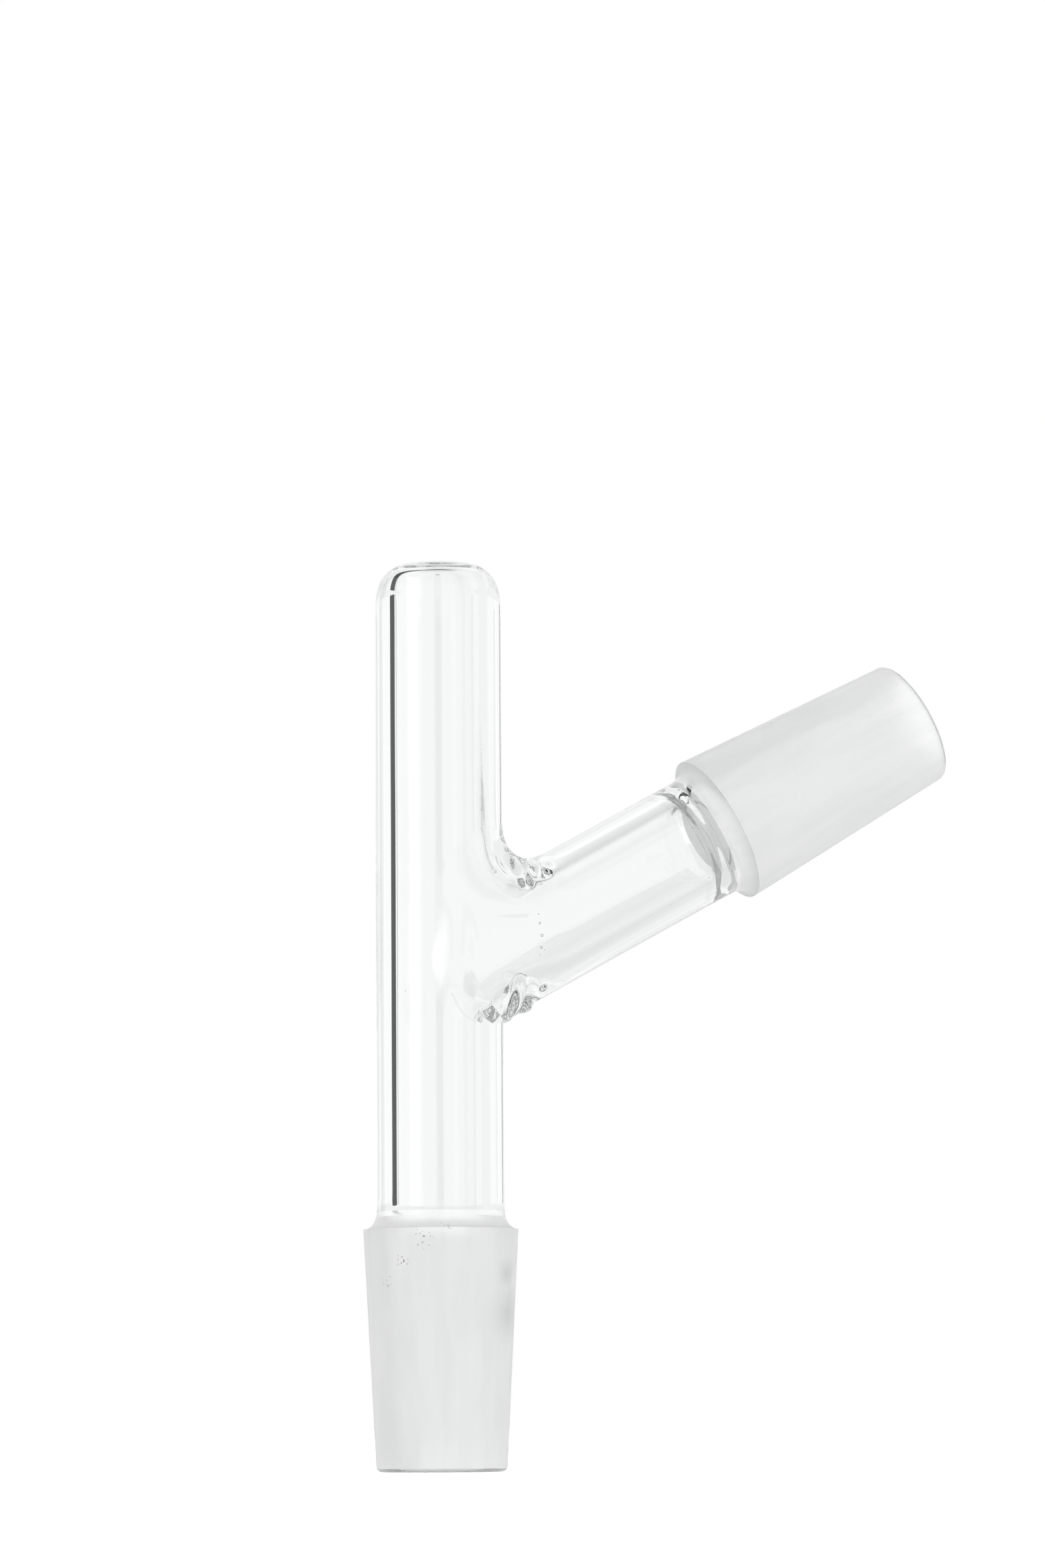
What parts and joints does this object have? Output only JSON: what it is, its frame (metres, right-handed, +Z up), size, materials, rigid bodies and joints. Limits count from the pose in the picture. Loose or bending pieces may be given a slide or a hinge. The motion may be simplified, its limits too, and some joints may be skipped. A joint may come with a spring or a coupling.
{
  "type": "angled glass adapter",
  "caption": "Closed-top upright glass tube with a rising side arm, each ending in a ground male taper joint, for joining laboratory glassware at an angle.",
  "frame": {"origin": "centre of the lower ground cone's rim, on the upright tube's axis", "axes": "+Z up the upright tube, +X the way the side arm leans out, +Y across both tubes"},
  "size_m": [0.0571, 0.0144, 0.0853],
  "materials": {
    "clear_glass": "clear fire-polished borosilicate",
    "ground_glass": "ground matte borosilicate"
  },
  "bodies": {
    "root": {"main_tube": "clear_glass", "side_arm_weld": "clear_glass", "side_arm_tube": "clear_glass", "side_ring_seal": "clear_glass", "side_cone": "ground_glass", "lower_ring_seal": "clear_glass", "lower_cone": "ground_glass"}
  },
  "joints": []
}
